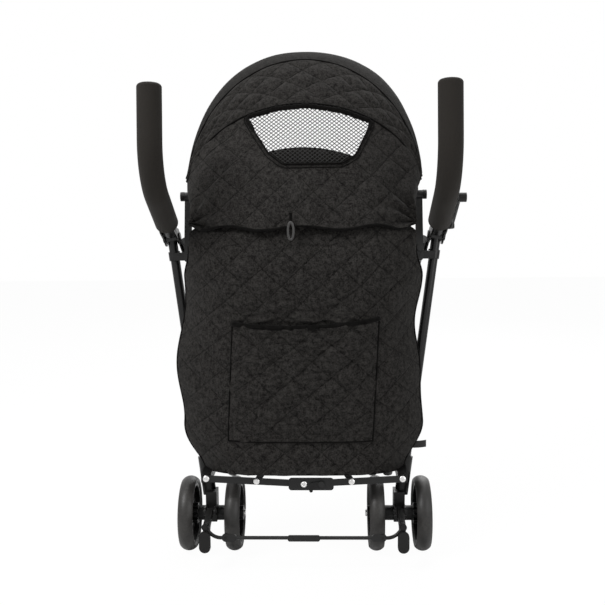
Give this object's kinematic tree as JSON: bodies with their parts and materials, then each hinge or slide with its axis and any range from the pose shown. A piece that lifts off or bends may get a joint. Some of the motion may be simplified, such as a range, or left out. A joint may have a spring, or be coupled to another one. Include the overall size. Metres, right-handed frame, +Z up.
{
  "type": "umbrella stroller",
  "caption": "Folding umbrella stroller with flared tube legs, cross brace, foam handles, twin wheels, lock bar, brake pedals, quilted seat and hood with a net window.",
  "frame": {"origin": "centre of the bounding box on the floor", "axes": "+Z up, +Y to the front of the stroller, +X to the right of the person who pushes it"},
  "size_m": [0.6052, 0.6898, 1.0258],
  "materials": {
    "tyre": "smooth moulded foam tyre",
    "grip_foam": "matt closed-cell foam",
    "bright_steel": "zinc-plated steel",
    "frame_tube": "satin dark grey powder coat",
    "window_net": "open dark net",
    "quilted_cloth": "charcoal melange cloth, diamond quilted",
    "plain_cloth": "charcoal melange cloth",
    "webbing": "woven webbing",
    "black_plastic": "satin moulded plastic"
  },
  "bodies": {
    "left_frame": {"rear_leg_left": "frame_tube", "wheel_housing_left": "black_plastic", "rear_axle_left": "bright_steel", "brace_bracket_left": "bright_steel", "canopy_knob_left": "black_plastic", "back_panel": "quilted_cloth", "back_pocket": "quilted_cloth", "seat_pad": "quilted_cloth", "footrest_strap": "quilted_cloth", "harness_straps": "webbing", "harness_buckle": "black_plastic", "canopy_rear": "plain_cloth", "window_net": "window_net"},
    "right_frame": {"rear_leg_right": "frame_tube", "wheel_housing_right": "black_plastic", "rear_axle_right": "bright_steel", "brace_bracket_right": "bright_steel", "canopy_knob_right": "black_plastic"},
    "left_brace": {"brace_bar_left": "frame_tube", "brace_hub_pin": "bright_steel"},
    "right_brace": {"brace_bar_right": "frame_tube"},
    "lock_left": {"lock_link_left": "frame_tube"},
    "lock_right": {"lock_link_right": "frame_tube"},
    "latch": {"lock_latch": "black_plastic"},
    "canopy_middle": {"middle_bow": "black_plastic", "canopy_top": "quilted_cloth"},
    "canopy_front": {"front_bow": "black_plastic", "canopy_front": "plain_cloth"},
    "hook": {"transport_hook": "black_plastic"},
    "front_left": {"handle_clevis_left": "black_plastic", "handle_tube_left": "frame_tube", "foam_grip_left": "grip_foam", "front_tube_left": "frame_tube", "caster_socket_left": "black_plastic"},
    "caster_left": {"caster_fork_left": "black_plastic", "front_axle_left": "bright_steel"},
    "front_wheels_left": {"front_tyres_left": "tyre", "front_rims_left": "black_plastic"},
    "outer_wheel_left": {"outer_rear_tyre_left": "tyre", "outer_rear_rim_left": "black_plastic"},
    "inner_wheel_left": {"inner_rear_tyre_left": "tyre", "inner_rear_rim_left": "black_plastic"},
    "brake_left": {"brake_pedal_left": "black_plastic"},
    "rod_left": {"brake_rod_left": "black_plastic"},
    "front_right": {"handle_clevis_right": "black_plastic", "handle_tube_right": "frame_tube", "foam_grip_right": "grip_foam", "front_tube_right": "frame_tube", "caster_socket_right": "black_plastic"},
    "caster_right": {"caster_fork_right": "black_plastic", "front_axle_right": "bright_steel"},
    "front_wheels_right": {"front_tyres_right": "tyre", "front_rims_right": "black_plastic"},
    "outer_wheel_right": {"outer_rear_tyre_right": "tyre", "outer_rear_rim_right": "black_plastic"},
    "inner_wheel_right": {"inner_rear_tyre_right": "tyre", "inner_rear_rim_right": "black_plastic"},
    "brake_right": {"brake_pedal_right": "black_plastic"},
    "rod_right": {"brake_rod_right": "black_plastic"}
  },
  "joints": [
    {"name": "fold", "type": "hinge", "parent": "left_frame", "child": "left_brace", "pos_m": [-0.243, -0.15625, 0.61184], "axis": [0, 0.9763, -0.2164], "range_deg": [0, 19.64], "deforming": ["back_panel", "back_pocket", "seat_pad", "footrest_strap", "harness_straps", "harness_buckle", "canopy_rear", "window_net"]},
    {"name": "brace_hub", "type": "hinge", "parent": "left_brace", "child": "right_brace", "pos_m": [-0.008, -0.22758, 0.29008], "axis": [0, 0.9763, -0.2164], "range_deg": [-44.5, 0.5]},
    {"name": "right_brace_top", "type": "hinge", "parent": "right_brace", "child": "right_frame", "pos_m": [0.227, -0.15625, 0.61184], "axis": [0, 0.9763, -0.2164], "range_deg": [-0.5, 20.14]},
    {"name": "swing_left", "type": "hinge", "parent": "left_frame", "child": "front_left", "pos_m": [-0.27962, -0.12654, 0.63791], "axis": [-0.9898, 0, -0.1426], "range_deg": [-0.5, 34.5]},
    {"name": "lock_fold_left", "type": "hinge", "parent": "left_frame", "child": "lock_left", "pos_m": [-0.2, -0.25473, 0.16763], "axis": [0, 0.9763, -0.2164], "range_deg": [-0.5, 65.5]},
    {"name": "outer_wheel_spin_left", "type": "hinge", "parent": "left_frame", "child": "outer_wheel_left", "pos_m": [-0.245, -0.19637, 0.075], "axis": [1, 0, 0], "continuous": true},
    {"name": "inner_wheel_spin_left", "type": "hinge", "parent": "left_frame", "child": "inner_wheel_left", "pos_m": [-0.152, -0.19637, 0.075], "axis": [1, 0, 0], "continuous": true},
    {"name": "caster_swivel_left", "type": "hinge", "parent": "front_left", "child": "caster_left", "pos_m": [-0.18811, 0.30994, 0.16], "axis": [0, 0, 1], "continuous": true},
    {"name": "front_wheel_spin_left", "type": "hinge", "parent": "caster_left", "child": "front_wheels_left", "pos_m": [-0.18811, 0.27494, 0.07], "axis": [1, 0, 0], "continuous": true},
    {"name": "brake_left", "type": "hinge", "parent": "left_frame", "child": "brake_left", "pos_m": [-0.1985, -0.23637, 0.092], "axis": [1, 0, 0], "range_deg": [0, 10]},
    {"name": "rod_fold_left", "type": "hinge", "parent": "brake_left", "child": "rod_left", "pos_m": [-0.15881, -0.30878, 0.06704], "axis": [0, 0.9763, -0.2164], "range_deg": [-94.5, 0.5]},
    {"name": "swing_right", "type": "hinge", "parent": "right_frame", "child": "front_right", "pos_m": [0.26362, -0.12654, 0.63791], "axis": [-0.9898, 0, 0.1426], "range_deg": [-0.5, 34.5]},
    {"name": "lock_fold_right", "type": "hinge", "parent": "right_frame", "child": "lock_right", "pos_m": [0.184, -0.25473, 0.16763], "axis": [0, 0.9763, -0.2164], "range_deg": [-65.5, 0.5]},
    {"name": "outer_wheel_spin_right", "type": "hinge", "parent": "right_frame", "child": "outer_wheel_right", "pos_m": [0.229, -0.19637, 0.075], "axis": [1, 0, 0], "continuous": true},
    {"name": "inner_wheel_spin_right", "type": "hinge", "parent": "right_frame", "child": "inner_wheel_right", "pos_m": [0.136, -0.19637, 0.075], "axis": [1, 0, 0], "continuous": true},
    {"name": "caster_swivel_right", "type": "hinge", "parent": "front_right", "child": "caster_right", "pos_m": [0.17211, 0.30994, 0.16], "axis": [0, 0, 1], "continuous": true},
    {"name": "front_wheel_spin_right", "type": "hinge", "parent": "caster_right", "child": "front_wheels_right", "pos_m": [0.17211, 0.27494, 0.07], "axis": [1, 0, 0], "continuous": true},
    {"name": "brake_right", "type": "hinge", "parent": "right_frame", "child": "brake_right", "pos_m": [0.1825, -0.23637, 0.092], "axis": [1, 0, 0], "range_deg": [-0.5, 10.5]},
    {"name": "rod_fold_right", "type": "hinge", "parent": "brake_right", "child": "rod_right", "pos_m": [0.1428, -0.30878, 0.06704], "axis": [0, 0.9763, -0.2164], "range_deg": [-0.5, 94.5]},
    {"name": "latch_lift", "type": "hinge", "parent": "lock_right", "child": "latch", "pos_m": [0.026, -0.25683, 0.15816], "axis": [0, 0.9763, -0.2164], "range_deg": [0, 25]},
    {"name": "canopy_fold", "type": "hinge", "parent": "left_frame", "child": "canopy_front", "pos_m": [-0.008, -0.12667, 0.72103], "axis": [1, 0, 0], "range_deg": [0, 45], "deforming": ["canopy_top", "middle_bow", "canopy_front", "front_bow"]},
    {"name": "canopy_middle_fold", "type": "hinge", "parent": "left_frame", "child": "canopy_middle", "pos_m": [-0.008, -0.12667, 0.72103], "axis": [1, 0, 0], "range_deg": [-0.5, 16.25]},
    {"name": "hook_swing", "type": "hinge", "parent": "front_right", "child": "hook", "pos_m": [0.26362, -0.16118, 0.65791], "axis": [-1, 0, 0], "range_deg": [0, 110]}
  ],
  "couplings": [
    {"joint": "brace_hub", "follows": "fold", "ratio": -2.2403},
    {"joint": "right_brace_top", "follows": "fold", "ratio": 1},
    {"joint": "swing_left", "follows": "fold", "ratio": 1.7312},
    {"joint": "lock_fold_left", "follows": "fold", "ratio": 3.3096},
    {"joint": "rod_fold_left", "follows": "fold", "ratio": -4.7862},
    {"joint": "swing_right", "follows": "fold", "ratio": 1.7312},
    {"joint": "lock_fold_right", "follows": "fold", "ratio": -3.3096},
    {"joint": "brake_right", "follows": "brake_left", "ratio": 1},
    {"joint": "rod_fold_right", "follows": "fold", "ratio": 4.7862},
    {"joint": "canopy_middle_fold", "follows": "canopy_fold", "ratio": 0.35}
  ]
}
